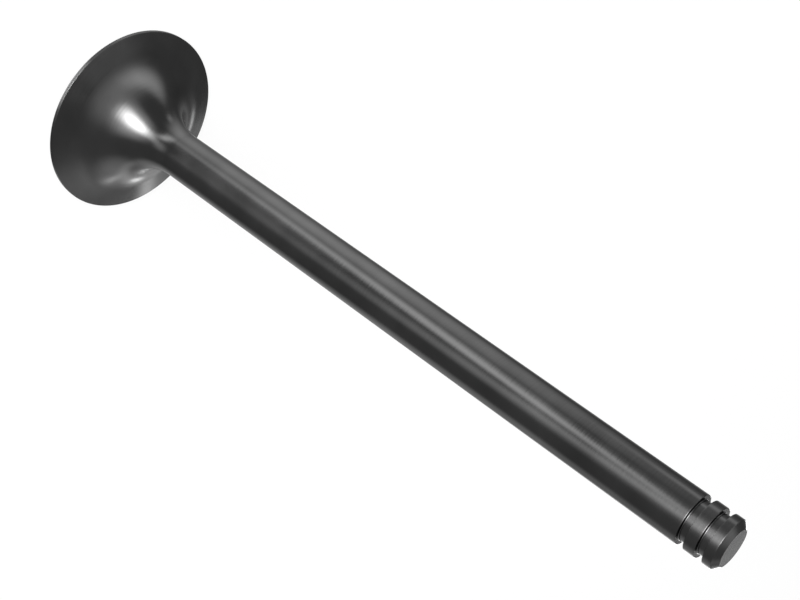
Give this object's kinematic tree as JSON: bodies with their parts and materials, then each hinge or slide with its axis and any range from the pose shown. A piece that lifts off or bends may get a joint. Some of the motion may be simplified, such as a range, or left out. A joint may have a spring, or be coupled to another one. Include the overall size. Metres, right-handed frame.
{
  "type": "engine valve",
  "caption": "One-piece poppet valve for a piston engine: flat round head, hollow-curved underhead, long ground stem, and keeper grooves next to a chamfered tip.",
  "frame": {"origin": "centre of the flat combustion face, on which the valve stands", "axes": "+Z along the stem, from the head to the tip; the form is the same all round, so X and Y are free"},
  "size_m": [0.0298, 0.0298, 0.1131],
  "materials": {
    "valve_steel": "dark satin, salt-bath nitrided and polished valve steel"
  },
  "bodies": {
    "root": {"valve": "valve_steel"}
  },
  "joints": []
}
